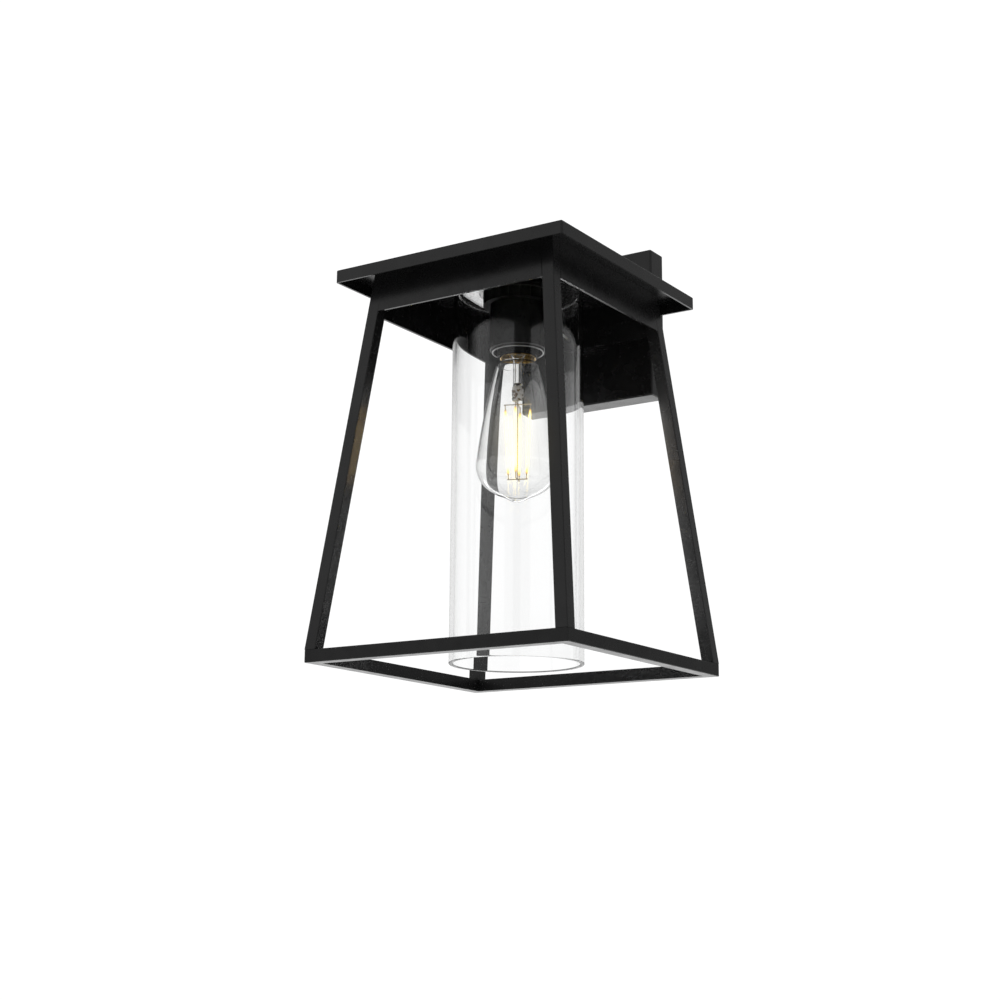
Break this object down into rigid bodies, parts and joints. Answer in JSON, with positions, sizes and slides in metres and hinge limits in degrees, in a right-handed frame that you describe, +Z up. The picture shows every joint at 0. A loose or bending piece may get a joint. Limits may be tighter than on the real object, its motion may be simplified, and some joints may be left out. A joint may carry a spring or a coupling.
{
  "type": "outdoor wall sconce",
  "caption": "Square flat-roofed wall lantern with splayed legs, an open bottom ring, a clear glass cylinder shade and a screw-in filament bulb, held on a square wall canopy.",
  "frame": {"origin": "middle of the wall canopy's back face, on the wall plane", "axes": "+X to the right along the wall for someone facing it, +Y into the wall, +Z up"},
  "size_m": [0.2256, 0.2379, 0.3539],
  "materials": {
    "satin_black": "satin powder coat",
    "zinc_steel": "zinc plated",
    "foam_seal": "closed-cell foam",
    "black_rubber": "matte",
    "green_paint": "gloss",
    "green_wire": "satin",
    "white_wire": "satin",
    "black_wire": "satin",
    "connector_plastic": "satin",
    "socket_black": "satin",
    "white_ceramic": "unglazed",
    "brass": "polished",
    "cap_brass": "polished",
    "contact_solder": "soldered",
    "insulator_glass": "gloss",
    "shade_glass": "clear",
    "bulb_clear_glass": "clear",
    "stem_glass": "clear",
    "filament": "glowing phosphor coat",
    "filament_wire": "bright",
    "circuit_board": "satin"
  },
  "bodies": {
    "fixture": {"wall_canopy": "satin_black", "arm": "satin_black", "roof": "satin_black", "leg_front_right": "satin_black", "leg_rear_right": "satin_black", "leg_rear_left": "satin_black", "leg_front_left": "satin_black", "collar_front": "satin_black", "collar_right": "satin_black", "collar_rear": "satin_black", "collar_left": "satin_black", "ring_bar_front": "satin_black", "ring_bar_right": "satin_black", "ring_bar_rear": "satin_black", "ring_bar_left": "satin_black", "shade_seat": "satin_black", "wire_channel": "satin_black", "canopy_side_screws": "satin_black", "crossbar": "zinc_steel", "arm_screws": "zinc_steel", "lamp_nipple": "zinc_steel", "roof_weld_nut": "zinc_steel", "nipple_lock_nut": "zinc_steel", "wall_seal": "foam_seal", "lead_grommet": "black_rubber", "shade_gasket": "black_rubber", "ground_screw": "green_paint", "ground_lead": "green_wire", "lead_neutral": "white_wire", "lead_live": "black_wire", "wire_connectors": "connector_plastic", "socket_body": "socket_black", "socket_liner": "socket_black", "socket_insulator": "white_ceramic", "socket_screw_shell": "brass", "socket_contact": "brass", "terminal_screws": "brass"},
    "shade": {"glass_shade": "shade_glass", "shade_slip_washer": "black_rubber"},
    "shade_ring": {"shade_ring": "socket_black"},
    "bulb_contact": {"bulb_contact": "contact_solder", "bulb_insulator": "insulator_glass"},
    "bulb": {"bulb_cap": "cap_brass", "bulb_glass": "bulb_clear_glass", "bulb_stem": "stem_glass", "bulb_filaments": "filament", "bulb_filament_wires": "filament_wire", "bulb_driver": "circuit_board"}
  },
  "joints": [
    {"name": "shade_drop", "type": "slide", "parent": "fixture", "child": "shade", "axis": [0, 0, -1], "range_m": [0, 0.0125]},
    {"name": "shade_ring_turn", "type": "hinge", "parent": "shade", "child": "shade_ring", "pos_m": [0, -0.1251, 0], "axis": [0, 0, -1], "range_deg": [0, 1802]},
    {"name": "bulb_drop", "type": "slide", "parent": "fixture", "child": "bulb_contact", "axis": [0, 0, -1], "range_m": [0, 0.02178]},
    {"name": "bulb_turn", "type": "hinge", "parent": "bulb_contact", "child": "bulb", "pos_m": [0, -0.1251, 0], "axis": [0, 0, -1], "range_deg": [0, 2162]}
  ],
  "couplings": [
    {"joint": "shade_ring_turn", "follows": "shade_drop", "rad_per_m": 2513.3},
    {"joint": "bulb_turn", "follows": "bulb_drop", "rad_per_m": 1730.9}
  ]
}
